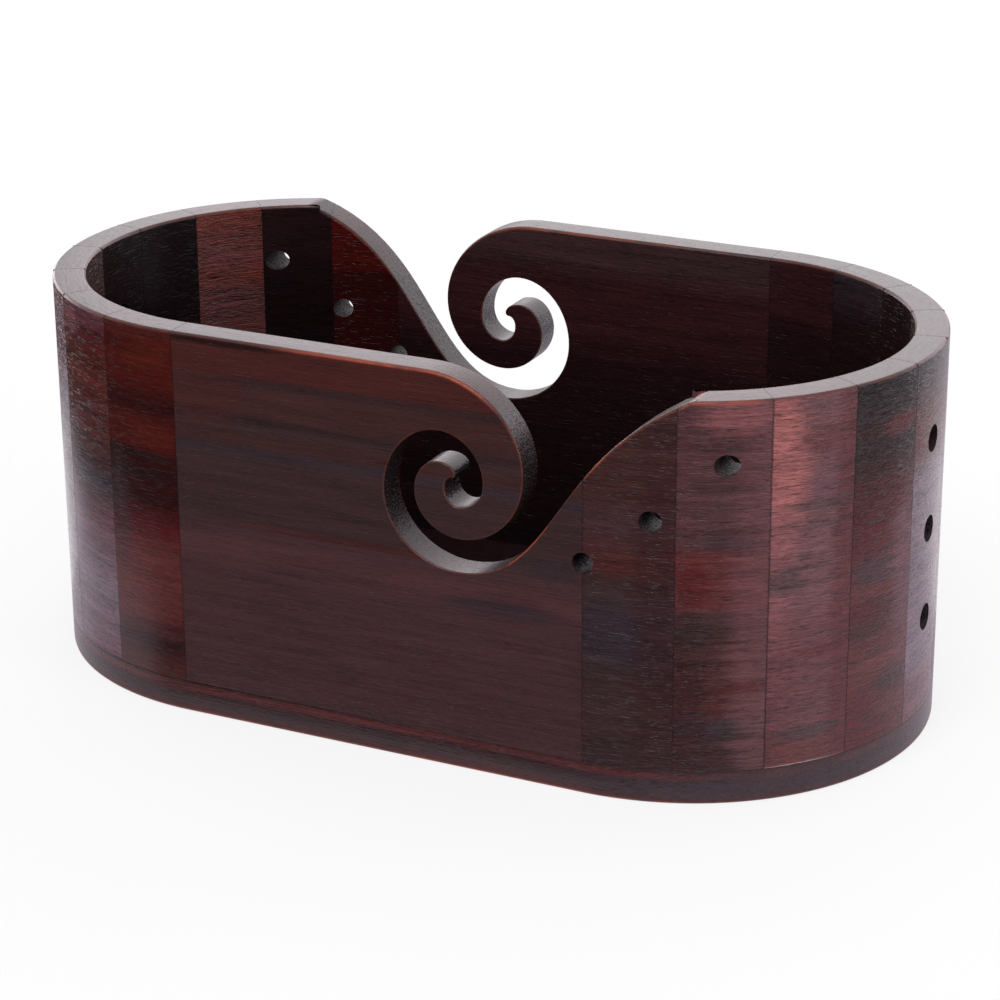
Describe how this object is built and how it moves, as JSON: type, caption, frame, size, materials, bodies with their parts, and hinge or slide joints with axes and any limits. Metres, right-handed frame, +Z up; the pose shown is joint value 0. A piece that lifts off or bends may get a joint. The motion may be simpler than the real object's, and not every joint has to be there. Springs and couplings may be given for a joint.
{
  "type": "yarn dispenser box",
  "caption": "Oblong open wooden yarn box with round ends of glued staves, a base board, a scroll slot in each long wall and guide holes.",
  "frame": {"origin": "middle of the base board's underside, on the surface the box stands on", "axes": "+X along the length, towards the right end seen from the front; +Y to the back wall; +Z up"},
  "size_m": [0.28, 0.15, 0.12],
  "materials": {
    "panel_wood": "dark rosewood-stained hardwood, long grain, satin lacquer",
    "stave_wood": "dark rosewood-stained hardwood, stave by stave from brown to red, satin lacquer",
    "base_wood": "dark rosewood-stained hardwood board, satin lacquer"
  },
  "bodies": {
    "root": {"base_board": "base_wood", "front_panel": "panel_wood", "back_panel": "panel_wood", "right_stave_1": "stave_wood", "right_stave_2": "stave_wood", "right_stave_3": "stave_wood", "right_stave_4": "stave_wood", "right_stave_5": "stave_wood", "right_stave_6": "stave_wood", "right_stave_7": "stave_wood", "right_stave_8": "stave_wood", "right_stave_9": "stave_wood", "left_stave_1": "stave_wood", "left_stave_2": "stave_wood", "left_stave_3": "stave_wood", "left_stave_4": "stave_wood", "left_stave_5": "stave_wood", "left_stave_6": "stave_wood", "left_stave_7": "stave_wood", "left_stave_8": "stave_wood", "left_stave_9": "stave_wood"}
  },
  "joints": []
}
